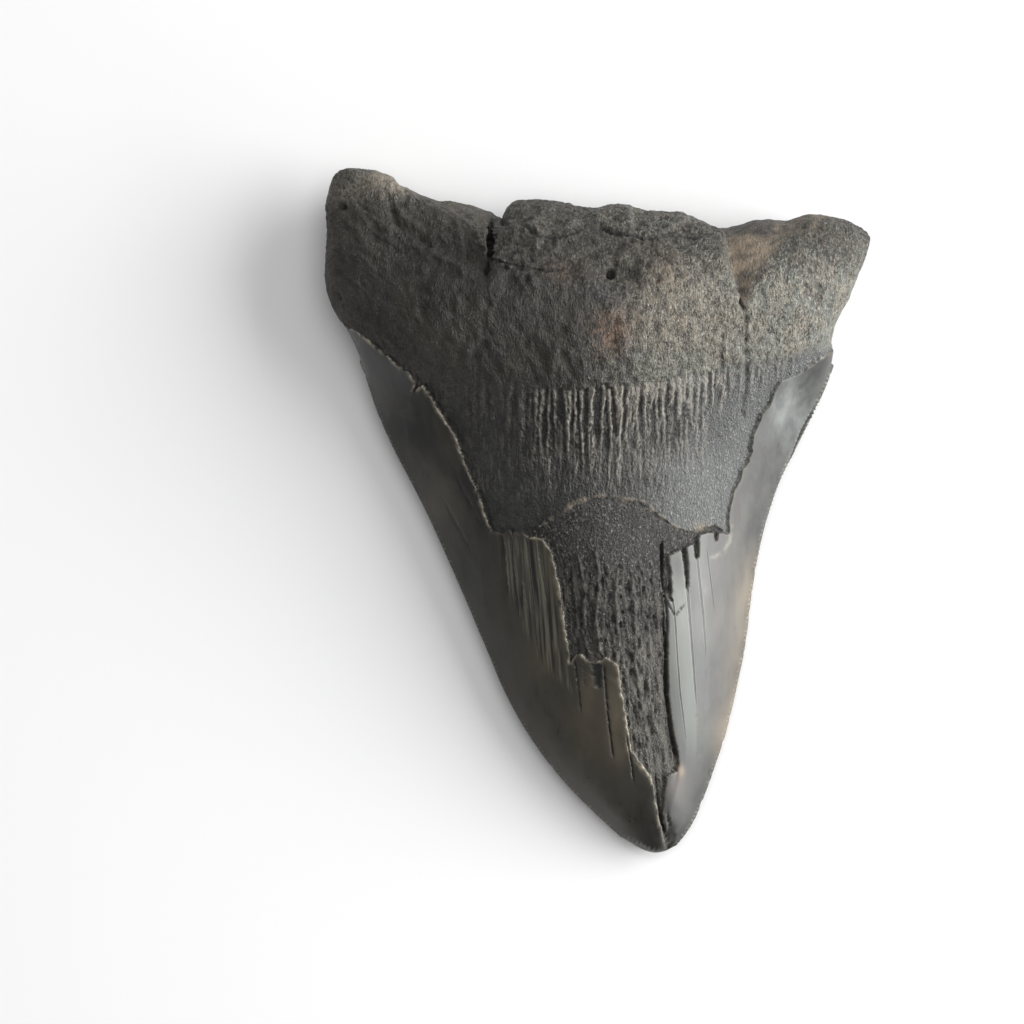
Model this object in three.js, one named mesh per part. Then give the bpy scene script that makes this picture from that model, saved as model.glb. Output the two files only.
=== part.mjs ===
// A fossil megalodon tooth, lying on its flat labial face with the domed lingual face up.
// Millimetres, +Z up, +Y from the crown's tip towards the root, origin under the middle of
// the tooth at the level it rests on. The tooth grew as one piece, so it is one closed solid:
// a domed upper sheet and a flatter lower sheet that meet along the tooth's whole outline.
import * as THREE from "three";

// Driving dimensions
const toothLength = 119; // tip to the top of the taller root lobe
const toothWidth = 94.4; // across the two root lobes
const thickness = 26.2; // lying height at the crest of the root, without its small swells
const edgeHeight = 4.6; // height of the crown's cutting edges above the rest plane
const rootEdgeHeight = 9.2; // height of the middle of the root's blunt sides
const enamelThickness = 0.75; // depth of the patch where the enamel has broken off the crown
const restDepth = 0.5; // how far the high spots of the labial face are worn flat

// Resolution: rows run across the tooth from the tip to the root
const rowStep = 1.95; // along the tooth
const rootColumns = 56; // cells across the widest rows of the lingual sheet
const smallestCell = 0.84; // a row whose cells would be narrower than this has half as many
const labialCoarseness = 2; // the labial sheet has this many times fewer cells across

// Outline, seen from above, drawn for a tooth of this width and length.
// Both cutting edges start at the tip and end at the outer corner of a root lobe.
const drawnWidth = 94.4;
const drawnLength = 119;
const mesialEdgePoints = [
  [10.3, -59.5], [8.0, -58.9], [4.6, -56.9], [0.0, -52.7], [-4.4, -48.4], [-9.5, -42.2],
  [-14.8, -33.8], [-19.4, -23.4], [-24.7, -10.9], [-30.5, 1.7], [-34.9, 10.1],
  [-38.2, 17.4], [-40.3, 23.6], [-43.6, 30.8], [-46.1, 35.2], [-47.2, 39.8],
  [-46.9, 47.0], [-47.0, 52.2], [-46.6, 56.0], [-45.4, 58.2],
];
const distalEdgePoints = [
  [10.3, -59.5], [12.9, -58.8], [16.3, -54.8], [18.3, -50.4], [20.5, -44.3], [22.6, -37.9],
  [24.5, -29.7], [25.8, -23.4], [26.8, -15.0], [28.2, -6.7], [29.8, -0.4],
  [32.0, 5.8], [35.3, 12.1], [38.4, 18.3], [41.0, 24.4], [41.5, 27.2], [40.9, 29.6],
  [42.1, 32.8], [43.4, 35.2], [45.0, 39.4], [46.5, 43.4], [47.2, 46.4], [46.8, 48.2],
];
const basalEdgePoints = [
  [-45.4, 58.2], [-43.2, 59.5], [-39.2, 59.2], [-34.9, 57.6], [-30.6, 55.3],
  [-26.5, 53.9], [-20.3, 52.4], [-16.7, 51.2], [-15.5, 53.5], [-13.8, 54.2],
  [-7.7, 54.0], [-1.0, 52.8], [5.6, 53.2], [6.9, 52.5], [13.2, 52.1], [17.2, 50.8],
  [20.2, 49.0], [23.6, 49.1], [27.8, 50.5], [32.3, 49.9], [36.2, 51.4], [41.0, 50.9],
  [44.5, 49.8], [46.8, 48.2],
];

// Heights along the tooth, [y, z], joined smoothly: of the crest and of the outline
const crestHeights = [
  [-59.5, 4.2], [-52, 8.6], [-42, 12.4], [-24, 17.0], [-6, 20.2], [10, 22.8],
  [24, 25.2], [35, thickness], [45, 25.0], [54, 22.4], [60, 20.6],
];
const rimHeights = [
  [-59.5, 3.2], [-40, 4.2], [0, edgeHeight], [18, 5.6], [34, 8.0], [60, rootEdgeHeight],
];

// Two lines that columns of cells follow, [x, y] from the tip to the basal edge. Mesial: the
// broken enamel edge, then the deep crack beside the basal slab. Distal: the other enamel
// edge, then the wall of the spall.
const mesialGuide = [
  [9.9, -58.6], [9.2, -48.6], [6.2, -42.3], [4.4, -30.2], [-4.6, -25.2], [-5.8, -18.9],
  [-7.2, -10.2], [-9.5, -3.6], [-14.5, 12], [-18.4, 32], [-18.3, 50], [-16.6, 56],
];
const distalGuide = [
  [11.0, -58.6], [12.9, -51], [14.5, -44.2], [12.4, -31], [11.4, -17.1], [11.6, -4],
  [16.0, 12], [23.8, 34], [23.2, 38.4], [21.6, 43.2], [20.8, 56],
];
const guideShare = [20 / 56, 40 / 56]; // share of the columns before each line
const wallWidth = 0.5; // width of the steep step beside a line

// Where the enamel is missing, below an arch that is the lower edge of the band of the neck
const archLine = [[-10, -4.6], [-8.8, -1.6], [-3.7, 1.4], [0.6, 2.5], [7.6, 1.6], [11.8, -1.6]];

const clamp01 = (v) => Math.min(1, Math.max(0, v));
const smooth = (from, to, v) => THREE.MathUtils.smoothstep(v, from, to);
const bump = (x, y, cx, cy, rx, ry) => Math.exp(-(((x - cx) / rx) ** 2) - ((y - cy) / ry) ** 2);
const turned = (points) => points.map(([x, y]) => [y, x]);

const curveThrough = (points) =>
  new THREE.CatmullRomCurve3(
    points.map(
      ([x, y]) =>
        new THREE.Vector3((x * toothWidth) / drawnWidth, (y * toothLength) / drawnLength, 0),
    ),
    false,
    "centripetal",
  );

// A smooth value at y between the [y, value] pairs of a table
function valueAt(table, y) {
  const last = table.length - 1;
  const at = THREE.MathUtils.clamp(y, table[0][0], table[last][0]);
  const i = Math.min(last - 1, table.findLastIndex(([start]) => start <= at));
  const slope = (k) => {
    const a = table[Math.max(0, k - 1)];
    const b = table[Math.min(last, k + 1)];
    return (b[1] - a[1]) / (b[0] - a[0]);
  };
  const [y0, z0] = table[i];
  const [y1, z1] = table[i + 1];
  const gap = y1 - y0;
  const t = (at - y0) / gap;
  const a = slope(i) * gap - (z1 - z0);
  const b = z1 - z0 - slope(i + 1) * gap;
  return z0 + (z1 - z0) * t + t * (1 - t) * (a * (1 - t) + b * t);
}

// The value of a line of pairs at v, straight between its points
function lineAt(line, v) {
  const last = line.length - 1;
  if (v <= line[0][0]) return line[0][1];
  if (v >= line[last][0]) return line[last][1];
  const i = line.findLastIndex(([start]) => start <= v);
  const [a0, b0] = line[i];
  const [a1, b1] = line[i + 1];
  return b0 + ((b1 - b0) * (v - a0)) / (a1 - a0);
}

const mesialEdge = curveThrough(mesialEdgePoints);
const distalEdge = curveThrough(distalEdgePoints);
const guideAt = [lineAt.bind(null, turned(mesialGuide)), lineAt.bind(null, turned(distalGuide))];

// Broken-off layers and cracks, as depths below the tooth's dome

// The basal slab: a broken layer between the lobes that lies a ledge lower than the root's
// crest, and a second, shallower ledge in front of it that ends at the nutrient foramen
const slabFront = [[-16.5, 49.4], [-9, 47.4], [0, 48.2], [8, 46.6], [17, 47.0], [21.5, 48.6]];
const ledgeFront = [[-18, 43.4], [-8, 41.2], [1, 41.0], [7, 42.4], [20, 46.4]];
function slabDrop(x, y) {
  const within = smooth(-18.2, -17.2, x) * (1 - smooth(19.8, 21.2, x));
  const slab = 1.5 * smooth(-0.4, 0.9, y - lineAt(slabFront, x));
  const ledge = 0.9 * smooth(-0.5, 1.2, y - lineAt(ledgeFront, x));
  return within * (slab + ledge);
}

// The foramen, a small hole that opens into a hollow on its distal side
const foramenDrop = (x, y) =>
  1.6 * bump(x, y, 2.2, 40.8, 1.1, 1.1) + 0.9 * bump(x, y, 5.2, 40.0, 2.6, 1.5);

// The mesial lobe has a ridge towards the slab, a strip that slopes away behind it and a
// groove along its front
const ridgeBack = [[-42, 58.4], [-34, 56.4], [-29, 54.2], [-18, 48.8]];
const ridgeGroove = [[-38, 54.2], [-30, 50.2], [-22, 45.4], [-18, 42.6]];
function ridgeDrop(x, y) {
  const strip = 2.2 * smooth(-0.2, 1.6, y - lineAt(ridgeBack, x)) * smooth(-33, -26, x);
  const across = (y - lineAt(ridgeGroove, x)) / 1.9;
  const groove = 1.1 * Math.exp(-across * across) * smooth(-38, -33, x);
  return (strip + groove) * (1 - smooth(-18.6, -17.8, x));
}

// The crack between the mesial lobe and the slab
const crackDepth = 2.6;
function crackDrop(x, y) {
  const offLine = Math.abs(x - guideAt[0](y)) / wallWidth;
  return crackDepth * clamp01(1 - offLine) * smooth(42.4, 43.6, y) * (1 - smooth(49, 51.5, y));
}

// The spall at the distal lobe: a cliff on its mesial side, a floor that rises to the lobe
const spallApex = [24.4, 35.4];
const spallSlope = 1.12; // of the line where the floor meets the lobe's surface
function spallDrop(x, y) {
  const cliff = guideAt[1](y);
  const rim = spallApex[0] + (y - spallApex[1]) / spallSlope;
  const share = clamp01((x - cliff) / Math.max(0.8, rim - cliff));
  return 3.0 * smooth(0, wallWidth, x - cliff) * (1 - share) ** 0.8 * smooth(34.2, 38.5, y);
}

// The patch of bare dentine between the two guides
function dentineDrop(x, y) {
  const fromMesial = smooth(0, wallWidth, x - guideAt[0](y));
  const fromDistal = smooth(0, wallWidth, guideAt[1](y) - x);
  const belowArch = smooth(-0.4, 0.9, lineAt(archLine, x) - y);
  return enamelThickness * fromMesial * fromDistal * belowArch * smooth(-56, -52, y);
}

// Fullness across a row: 0 at the outline, 1 on the crest. The crown thins like a lens to its
// cutting edges; the root's sides are blunt.
function fullness(fromEdge, y, lensPower) {
  const e = clamp01(fromEdge);
  const lens = 1 - (1 - e) ** lensPower;
  const blunt = (1 - (1 - e) ** 4) ** 0.42;
  return THREE.MathUtils.lerp(lens, blunt, smooth(14, 40, y));
}

// Fullness from the basal edge: the share of the tooth's length that curves over to it
const basalRounding = 0.13;
function basalFullness(t) {
  const g = clamp01((1 - t) / basalRounding);
  return (1 - (1 - g) ** 3) ** 0.42;
}

const swell = (x, y) =>
  0.26 * Math.sin(x / 4.7 + 0.6) * Math.sin(y / 6.1 + 1.9) + 0.18 * Math.sin((x - y) / 5.3);

function lingualHeight(x, y, s, t) {
  const rim = valueAt(rimHeights, y);
  const rise = fullness(1 - Math.abs(2 * s - 1), y, 1.75) * basalFullness(t);
  const lobeFall = 5.2 * smooth(10, 44, Math.abs(x - 3)) * smooth(22, 40, y);
  const neck = 0.4 * bump(x, y, 2, 20, 60, 7) - 0.5 * bump(x, y, 4, 33, 14, 8);
  const dome = valueAt(crestHeights, y) - lobeFall - neck - rim;
  const rootDrops = slabDrop(x, y) + ridgeDrop(x, y) + crackDrop(x, y) + spallDrop(x, y);
  const drops = rootDrops + foramenDrop(x, y) + dentineDrop(x, y);
  return rim + dome * rise + (swell(x, y) * smooth(18, 30, y) - drops) * clamp01(rise * 1.5);
}

function labialHeight(x, y, s, t) {
  const rim = valueAt(rimHeights, y);
  const fill = fullness(1 - Math.abs(2 * s - 1), y, 2.4) * basalFullness(t);
  const basalHollow = 2.4 * bump(x, y, 2, 56, 13, 26);
  const neckHollow = 1.1 * bump(x, y, 0, 23, 70, 6);
  const crownCurve = 1.5 * (1 - smooth(-60, -30, y)) + 0.9 * ((x - 4) / 22) ** 2;
  const face = basalHollow + neckHollow + crownCurve * (1 - smooth(14, 30, y)) + 0.5 * swell(x, y);
  return Math.max(0, rim + (face - rim - restDepth) * fill);
}

// Columns of a row: halved towards the tip, where the tooth is narrow
function columnsFor(width) {
  let columns = rootColumns;
  while (columns % 4 === 0 && width / columns < smallestCell) columns /= 2;
  return columns;
}

// Shares across a row are crowded near the outline, where the sheets are steep
const crowded = (u) => THREE.MathUtils.lerp(u, (1 - Math.cos(Math.PI * u)) / 2, 0.5);

// A row from the mesial to the distal edge: a straight chord at the tip, bent towards the
// root until the last row is the basal edge itself
function rowPoint(s, t) {
  const from = mesialEdge.getPointAt(t);
  const to = distalEdge.getPointAt(t);
  const point = from.clone().lerp(to, s);
  const basal = valueAt(basalEdgePoints, (point.x * drawnWidth) / toothWidth);
  const chord = THREE.MathUtils.lerp(mesialEdgePoints.at(-1)[1], distalEdgePoints.at(-1)[1], s);
  const follow = clamp01((t - 0.55) / 0.45) ** 2.2;
  point.y += (follow * (basal - chord) * toothLength) / drawnLength;
  return point;
}

// Share across the row of lingual column i: the guided columns lie on the guides, with a
// column of each side close beside them
function guidedShare(i, columns, t) {
  const row = (s) => rowPoint(s, t);
  const shareOf = (guide) => {
    let s = 0.5;
    for (let n = 0; n < 6; n++) {
      const p = row(s);
      s = clamp01(s + (guide(p.y) - p.x) / (row(1).x - row(0).x));
    }
    return s;
  };
  const width = row(1).x - row(0).x;
  const beside = Math.min((0.99 * wallWidth) / width, 0.4 / columns);
  const stops = [[0, 0]];
  guideShare.forEach((share, n) => {
    const at = shareOf(guideAt[n]);
    const column = Math.round(share * columns);
    stops.push([column - 1, at - beside], [column, at], [column + 1, at + beside]);
  });
  stops.push([columns, 1]);
  return lineAt(stops, i);
}

function toothGeometry() {
  const positions = [];
  const triangles = [];
  const add = (x, y, z) => positions.push(x, y, z) / 3 - 1;
  const rows = Math.round(mesialEdge.getLength() / rowStep);
  const rowPlace = (k) => {
    const u = k / rows;
    return THREE.MathUtils.lerp(u, Math.sin((u * Math.PI) / 2), 0.32); // crowded at the root
  };
  const rimAt = (s, t) => {
    const p = rowPoint(s, t);
    return add(p.x, p.y, valueAt(rimHeights, p.y));
  };
  const sheetRow = (t, columns, shareAt, height, start, end) => {
    const row = [start];
    for (let i = 1; i < columns; i++) {
      const s = shareAt(i, columns, t);
      const p = rowPoint(s, t);
      row.push(add(p.x, p.y, height(p.x, p.y, s, t)));
    }
    return [...row, end];
  };

  // Joins two neighbouring rows; the row nearer the root has as many cells or twice as many
  const join = (lower, upper, outward) => {
    const face = (a, b, c) => triangles.push(...(outward ? [a, b, c] : [a, c, b]));
    const cells = lower.length - 1;
    const twice = upper.length - 1 === 2 * cells;
    for (let i = 0; i < cells; i++) {
      if (twice) {
        const j = 2 * i;
        face(lower[i], lower[i + 1], upper[j + 1]);
        face(lower[i], upper[j + 1], upper[j]);
        face(lower[i + 1], upper[j + 2], upper[j + 1]);
      } else if (i < cells / 2) {
        face(lower[i], lower[i + 1], upper[i]);
        face(lower[i + 1], upper[i + 1], upper[i]);
      } else {
        face(lower[i], lower[i + 1], upper[i + 1]);
        face(lower[i], upper[i + 1], upper[i]);
      }
    }
  };

  const tipVertex = rimAt(0, 0);
  let below = null;
  for (let k = 1; k <= rows; k++) {
    const t = rowPlace(k);
    const width = mesialEdge.getPointAt(t).distanceTo(distalEdge.getPointAt(t));
    const start = rimAt(0, t);
    const end = rimAt(1, t);
    const columns = columnsFor(width);
    const fewer = columns / labialCoarseness;
    const evenShare = (i, n) => crowded(i / n);
    let lingual;
    let labial;
    if (k < rows) {
      lingual = sheetRow(t, columns, guidedShare, lingualHeight, start, end);
      labial = sheetRow(t, fewer, evenShare, labialHeight, start, end);
    } else {
      lingual = [start];
      for (let i = 1; i < columns; i++) lingual.push(rimAt(guidedShare(i, columns, 1), 1));
      lingual.push(end);
      labial = lingual; // the two sheets share the basal edge
    }
    if (below) {
      join(below.lingual, lingual, true);
      join(below.labial, labial, false);
    } else {
      for (let i = 0; i < columns; i++) triangles.push(tipVertex, lingual[i + 1], lingual[i]);
      for (let i = 0; i < fewer; i++) triangles.push(tipVertex, labial[i], labial[i + 1]);
    }
    below = { lingual, labial };
  }

  const geometry = new THREE.BufferGeometry();
  geometry.setAttribute("position", new THREE.Float32BufferAttribute(positions, 3));
  geometry.setIndex(triangles);
  geometry.computeBoundingBox();
  const middle = geometry.boundingBox.getCenter(new THREE.Vector3());
  geometry.translate(-middle.x, -middle.y, -geometry.boundingBox.min.z);
  return geometry;
}

const fossil = new THREE.MeshStandardMaterial({ color: 0x5b5954, roughness: 0.6, metalness: 0 });
const tooth = new THREE.Mesh(toothGeometry(), fossil);
tooth.name = "tooth";

const part = new THREE.Group();
part.add(tooth);
export default part;
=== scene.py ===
"""A fossil megalodon tooth, lying on its labial face with the domed lingual face up.

One closed piece stands for the CAD tooth: the CAD surface is smoothed and split finer, and the
breaks, cracks, ribs, grain and serrations are cut into it. Sizes are in millimetres of the
tooth as drawn, 119 mm long, and are scaled to the frame.
"""

import math

import bpy
import numpy as np
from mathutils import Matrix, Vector


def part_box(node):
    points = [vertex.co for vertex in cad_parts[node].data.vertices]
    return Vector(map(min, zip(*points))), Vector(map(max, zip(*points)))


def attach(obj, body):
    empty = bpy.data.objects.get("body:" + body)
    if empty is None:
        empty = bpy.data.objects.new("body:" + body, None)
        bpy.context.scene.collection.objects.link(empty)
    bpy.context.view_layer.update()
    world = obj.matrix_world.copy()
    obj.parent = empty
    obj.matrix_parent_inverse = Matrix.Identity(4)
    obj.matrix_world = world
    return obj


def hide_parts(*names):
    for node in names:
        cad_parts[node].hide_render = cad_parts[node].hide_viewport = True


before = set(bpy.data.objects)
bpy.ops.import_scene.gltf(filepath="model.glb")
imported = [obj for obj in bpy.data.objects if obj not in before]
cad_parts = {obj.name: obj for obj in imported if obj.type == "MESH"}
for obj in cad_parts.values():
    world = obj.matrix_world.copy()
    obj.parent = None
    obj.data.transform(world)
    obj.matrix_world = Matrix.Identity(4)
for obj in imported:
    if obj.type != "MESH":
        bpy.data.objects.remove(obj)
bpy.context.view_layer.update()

LOW, HIGH = (np.array(corner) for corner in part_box("tooth"))
DRAWN_LENGTH = 119.07
MM = (HIGH[1] - LOW[1]) / DRAWN_LENGTH  # one drawn millimetre, in metres
MIDDLE = np.array([(LOW[0] + HIGH[0]) / 2, (LOW[1] + HIGH[1]) / 2, LOW[2]])

# ---- places on the tooth, in mm
# +x is distal, +y is towards the root. Mesial is -x.
TIP = (10.3, -59.5)
CROWN_TOP = 29.0  # the cutting edges end at the root, this far up

# Where the crown's enamel ends against the root and neck band, from shoulder to shoulder
ENAMEL_LINE_MESIAL = [
    (-46.5, 33.5), (-42.5, 31.6), (-40.8, 30.7), (-38.5, 28.6), (-35.9, 26.3), (-34.2, 25.0),
    (-32.8, 24.1), (-31.3, 22.1), (-32.2, 20.4), (-31.0, 21.2), (-30.2, 21.7), (-27.7, 17.9),
    (-25.4, 14.2), (-24.2, 12.1), (-22.7, 7.5), (-21.1, 4.5), (-20.0, 1.0), (-18.9, -1.7),
    (-18.4, -3.4),
]
NECK_LOWER_LINE = [
    (-18.4, -3.4), (-15.0, -3.6), (-11.6, -4.1), (-9.0, -1.5), (-3.7, 1.5), (0.6, 2.5),
    (7.6, 1.7), (11.9, -1.5), (14.0, -3.0), (16.3, -3.4), (20.6, -2.3), (22.9, -4.0),
]
ENAMEL_LINE_DISTAL = [
    (22.9, -4.0), (22.7, -2.0), (22.9, 0.3), (23.4, 2.0), (23.8, 3.7), (24.8, 5.5),
    (25.1, 7.2), (26.2, 8.6), (26.7, 10.7), (27.0, 13.0), (27.9, 15.0), (28.4, 16.8),
    (29.8, 18.0), (30.5, 19.9), (31.6, 22.0), (35.4, 23.7), (39.0, 26.6), (41.5, 28.4),
    (44.0, 29.6),
]
# The patch where the enamel has broken off the crown, up to the neck's lower line
BARE_PATCH = [
    (-11.6, -4.4), (-9.6, -4.7), (-8.1, -6.7), (-7.2, -10.2), (-6.3, -14.5), (-5.8, -18.9),
    (-5.1, -23.2), (-4.7, -26.4), (-3.7, -24.6), (-2.9, -24.5), (-1.8, -25.8), (0.5, -25.8),
    (1.4, -25.0), (3.6, -26.6), (4.0, -29.5), (4.6, -33.0), (5.3, -37.4), (5.9, -41.3),
    (8.2, -44.3), (9.3, -45.8), (9.9, -47.4), (10.4, -51.0), (11.1, -54.2), (12.0, -57.6),
    (12.6, -59.2), (12.8, -59.0), (12.3, -57.4), (11.5, -54.2), (11.4, -51.2), (11.7, -48.6),
    (12.0, -45.9), (13.8, -45.0), (14.2, -43.8), (12.9, -36.3), (12.2, -31.0), (12.1, -24.1),
    (11.7, -17.1), (11.5, -13.4), (12.9, -15.8), (12.7, -11.0), (12.3, -7.6), (13.4, -7.1),
    (14.5, -6.6), (15.1, -10.0), (15.6, -14.2), (15.8, -10.0), (15.4, -6.2), (16.7, -5.6),
    (17.0, -8.2), (17.5, -8.0), (17.7, -3.9), (20.3, -3.6), (20.7, -5.4), (21.1, -3.5),
] + NECK_LOWER_LINE[:2:-1]
PATCH_MIDDLE = [(-59, 11.5), (-44, 10), (-30, 8.2), (-24, 3), (-4, 1)]  # x at each height
# The CAD solid's plainer patch: x at each height on its sides, and its arch
CAD_PATCH_MESIAL = [
    (-58.6, 9.9), (-48.6, 9.2), (-42.3, 6.2), (-30.2, 4.4), (-25.2, -4.6), (-18.9, -5.8),
    (-10.2, -7.2), (-3.6, -9.5), (12, -14.5),
]
CAD_PATCH_DISTAL = [
    (-58.6, 11.0), (-51, 12.9), (-44.2, 14.5), (-31, 12.4), (-17.1, 11.4), (-4, 11.6),
    (12, 16.0),
]
CAD_PATCH_ARCH = [(-10, -4.6), (-8.8, -1.6), (-3.7, 1.4), (0.6, 2.5), (7.6, 1.6), (11.8, -1.6)]
# The hollow where a layer of the root has spalled off
SPALL_HOLLOW = [
    (22.0, 47.6), (22.4, 44.0), (23.1, 40.0), (24.1, 37.3), (24.9, 34.6), (26.0, 36.2),
    (27.7, 40.9), (31.7, 44.6), (35.0, 46.9), (38.4, 47.9), (42.7, 49.7), (44.0, 54.0),
    (21.4, 54.0),
]
NECK_AND_ROOT = ENAMEL_LINE_MESIAL + NECK_LOWER_LINE[1:] + ENAMEL_LINE_DISTAL[1:]
NECK_AND_ROOT += [(70, 30), (70, 80), (-70, 80), (-70, 33)]  # wide of the root on three sides
# The labial enamel ends in a shallow arch
LABIAL_ENAMEL_LINE = [
    (-47, 33.5), (-40, 30.5), (-30, 25), (-20, 20.5), (-10, 17), (0, 15.5), (10, 16.5),
    (20, 20), (30, 24.5), (38, 27.5), (45, 30),
]
# The root's grain gives way to the neck band along this line, and its ribs start at the next two
BAND_TOP = [
    (-44, 31), (-34, 24.2), (-20, 21.8), (-6, 20.8), (6, 21.8), (18, 23.6), (30, 25.4),
    (41, 28.6),
]
RIB_TOP = [
    (-34, 26.0), (-20, 23.6), (-9, 22.4), (0, 21.6), (8, 22.4), (14, 23.4), (20, 23.8),
    (35, 27.5),
]
LOWER_RIB_TOP = [(-12, 14), (0, 13), (10, 13.5), (22, 14)]
RIBBED = [  # round the tallest ribs
    (-10, 21.5), (0, 20.5), (10, 22.5), (21, 23.5), (33, 27), (33, 23), (22, 18), (17, 9),
    (6, 5), (-6, 6), (-11, 12),
]
ARCH = [(-9.6, -2.2), (-6.5, -0.2)] + NECK_LOWER_LINE[4:-1]  # the band's broken lower rim
# The mesial lobe: the foot of its upper block, and the edge of its broken top
BLOCK_FOOT = [(-36.2, 54.8), (-34.2, 50.8), (-31.2, 48.6), (-25.5, 46.4), (-21.5, 44.6), (-18.8, 42.8)]
LOBE_EDGE = [(-28, 54.4), (-26.0, 52.9), (-24.4, 52.0), (-21.5, 50.3), (-18.6, 49.0)]
SLAB_FOOT = [(-17, 49.6), (-9.8, 47.3), (-2.5, 48.8), (8, 47.2), (14, 47.8), (21, 47.0)]
SMALL_CHIP = [(-1.3, -26.2), (0.7, -26.2), (0.9, -30.4), (-0.6, -30.6)]
FLAKE_LINE = [(19.8, -8.0), (21.9, -7.0), (23.0, -5.0), (23.3, -2.6)]
STREAKED = [(-18, -3.6), (-9.5, -4), (-6.2, -18), (-5.2, -26), (-3, -33), (-10, -26), (-15, -16)]

ENAMEL_THICKNESS = 0.75
NECK_STEP = 0.5  # how far the enamel stands above the neck band
CROWN_LEAN_HEIGHT = 90  # this far above the tip, the crown's leaning middle is at x = 0
SHARP_FOLD = 70  # degrees: only the cutting edges fold by more than this
PAST_CAD = 0.3  # how far a point may pass the CAD box
WELDS_PER_MM = 2000  # corners less than half a micrometre apart are one
LABIAL_PORES = 110
ROOT_PITS = 150
SERRATION_PITCH = 0.8  # about 13 to the centimetre

# Cracks: line, width and depth
CRACKS = [
    ([(-18.3, 49.4), (-18.5, 47.2), (-18.4, 45.1), (-18.6, 43.3)], 0.9, 2.2),
    ([(-18.6, 43.5), (-18.9, 42.6), (-19.1, 40.3)], 0.5, 1.0),
    ([(-18.4, 43.2), (-15.9, 42.8), (-13.3, 42.2), (-9.0, 41.3), (-5.6, 41.6)], 0.5, 0.5),
    ([(-14.6, 49.6), (-12.5, 48.6), (-9.8, 47.4), (-7.4, 47.1), (-4.8, 47.6), (-2.0, 48.6)],
     0.5, 0.45),
    ([(-0.2, 48.8), (1.8, 48.2), (4.0, 47.6), (6.4, 47.3), (8.0, 46.8), (10.4, 46.8)], 0.7, 0.8),
    ([(10.0, 46.8), (12.8, 47.4), (15.7, 47.0), (18.0, 46.7)], 0.5, 0.4),
    ([(24.1, 37.0), (24.3, 36.0), (24.9, 35.0), (25.2, 34.2)], 0.6, 0.5),
    ([(25.3, 34.2), (25.5, 29.8), (25.7, 22.9), (25.3, 15.4)], 0.9, 0.28),
    ([(11.4, -5.0), (11.4, -11.0), (12.0, -18.0), (12.0, -24.1), (12.1, -31.4), (12.8, -37.0),
      (13.9, -43.0)], 0.45, 0.5),
    ([(11.2, -5.0), (11.5, -11.0), (12.2, -17.0)], 0.7, 0.28),
    ([(12.0, -15.9), (13.4, -18.0), (15.2, -15.9)], 0.25, 0.26),
    ([(-16.2, -4.0), (-15.4, -14.6)], 0.3, 0.25),
    ([(-14.8, -4.0), (-14.6, -9.0), (-13.5, -18.4)], 0.3, 0.28),
    ([(-12.2, -4.2), (-11.6, -10.6), (-10.3, -23.9)], 0.3, 0.26),
    ([(-10.5, -4.4), (-9.6, -10.0), (-8.6, -16.2)], 0.3, 0.28),
    ([(-13.4, -6.0), (-12.6, -15.0), (-12.0, -19.0)], 0.25, 0.18),
    ([(-4.0, -24.9), (-3.3, -30.0), (-2.7, -35.2)], 0.35, 0.35),
    ([(-2.4, -26.0), (-2.0, -31.0)], 0.3, 0.22),
    ([(1.1, -26.4), (1.6, -33.0), (2.2, -38.0), (2.8, -42.9)], 0.35, 0.4),
    ([(5.0, -38.5), (6.0, -44.0), (6.3, -47.0)], 0.35, 0.3),
    ([(10.3, -45.2), (10.7, -49.4), (11.4, -54.0), (12.4, -57.6), (12.8, -60.0)], 0.4, 0.45),
    ([(12.1, -52.4), (12.7, -55.4), (13.5, -58.6)], 0.3, 0.25),
    ([(-41.0, 30.4), (-42.6, 28.2)], 0.3, 0.2),
    ([(-24.5, 6.4), (-20.2, -2.0)], 0.2, 0.08),
    ([(-26.5, 2.0), (-22.0, -6.5)], 0.2, 0.08),
]

# Straight cracks that part the distal enamel beside the bare patch into strips
STRIP_CRACKS = [
    [(12.9, -15.0), (13.3, -17.3), (13.7, -23.4), (14.3, -31.4), (15.3, -38.4)],
    [(15.6, -13.4), (16.3, -22.0), (17.0, -30.5), (17.2, -33.0)],
    [(17.2, -7.4), (17.5, -9.8), (18.4, -18.0), (18.9, -24.5)],
    [(19.0, -6.8), (19.7, -12.0), (20.3, -16.5)],
]
STRIP_WIDTH = 1.6  # of the outermost strips


# ---- fields over many points
def noise(places, size, seed):
    """A smooth random value from -1 to 1 at each place, with swells about size mm across."""
    grid = places / (np.asarray(size, float) * 0.5) + 31.7 * seed + 4096.0
    cell = np.floor(grid).astype(np.int64)
    part = grid - cell
    part = part * part * part * (part * (part * 6 - 15) + 10)
    total = np.zeros(len(places))
    for corner in range(8):
        step = np.array([corner & 1, corner >> 1 & 1, corner >> 2 & 1])
        weight = np.prod(np.where(step, part, 1 - part), axis=1)
        at = (cell + step).astype(np.uint32)
        key = at[:, 0] * np.uint32(374761393) + at[:, 1] * np.uint32(668265263)
        key = key + at[:, 2] * np.uint32(2246822519) + np.uint32(seed * 97 + 13)
        for shift, factor in ((15, 2654435761), (13, 3266489917), (16, 1)):
            key = (key ^ (key >> np.uint32(shift))) * np.uint32(factor)
        total += weight * (key / 2.0**31 - 1)
    return total


def layers(places, size, seed, count):
    """Noise in several layers, each half as large and half as strong."""
    total = np.zeros(len(places))
    for n in range(count):
        total += noise(places, np.asarray(size, float) / 2**n, seed + 7 * n) / 2**n
    return total / (2 - 2.0 ** (1 - count))


def smooth(start, end, value):
    t = np.clip((value - start) / (end - start), 0, 1)
    return t * t * (3 - 2 * t)


def line_at(line, at):
    """The second value of a line of points where the first value is at."""
    return np.interp(at, *np.array(line, float).T)


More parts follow.
